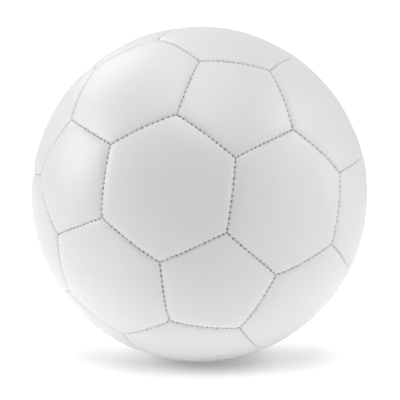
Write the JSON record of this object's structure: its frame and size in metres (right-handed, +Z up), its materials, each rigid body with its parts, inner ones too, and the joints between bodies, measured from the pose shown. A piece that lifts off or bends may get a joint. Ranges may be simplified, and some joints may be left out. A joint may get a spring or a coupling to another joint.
{
  "type": "football",
  "caption": "Stitched football: white synthetic leather hexagon and pentagon panels sewn edge to edge round an inflated rubber bladder with a needle valve.",
  "frame": {"origin": "centre of the ball", "axes": "+Z up as the ball lies on the ground, -Y towards the side with a hexagon at its middle, +X to the right when it is seen from -Y. The valve is on the far side, 31 degrees from +Y towards -X and 3 degrees below the middle."},
  "size_m": [0.2198, 0.2198, 0.22],
  "materials": {
    "cover": "satin",
    "thread": "matte",
    "bladder_rubber": "matte",
    "valve_rubber": "satin",
    "core_rubber": "satin",
    "patch_fabric": "matte"
  },
  "bodies": {
    "root": {"pentagon_panel_01": "cover", "pentagon_panel_02": "cover", "pentagon_panel_03": "cover", "pentagon_panel_04": "cover", "pentagon_panel_05": "cover", "pentagon_panel_06": "cover", "pentagon_panel_07": "cover", "pentagon_panel_08": "cover", "pentagon_panel_09": "cover", "pentagon_panel_10": "cover", "pentagon_panel_11": "cover", "pentagon_panel_12": "cover", "hexagon_panel_01": "cover", "hexagon_panel_02": "cover", "hexagon_panel_03": "cover", "hexagon_panel_04": "cover", "hexagon_panel_05": "cover", "hexagon_panel_06": "cover", "hexagon_panel_07": "cover", "hexagon_panel_08": "cover", "hexagon_panel_09": "cover", "hexagon_panel_10": "cover", "hexagon_panel_11": "cover", "hexagon_panel_12": "cover", "hexagon_panel_13": "cover", "hexagon_panel_14": "cover", "hexagon_panel_15": "cover", "hexagon_panel_16": "cover", "hexagon_panel_17": "cover", "hexagon_panel_18": "cover", "hexagon_panel_19": "cover", "valve_panel": "cover", "seam_thread": "thread", "bladder": "bladder_rubber", "valve_housing": "valve_rubber", "valve_core": "core_rubber", "valve_patch": "patch_fabric"}
  },
  "joints": []
}
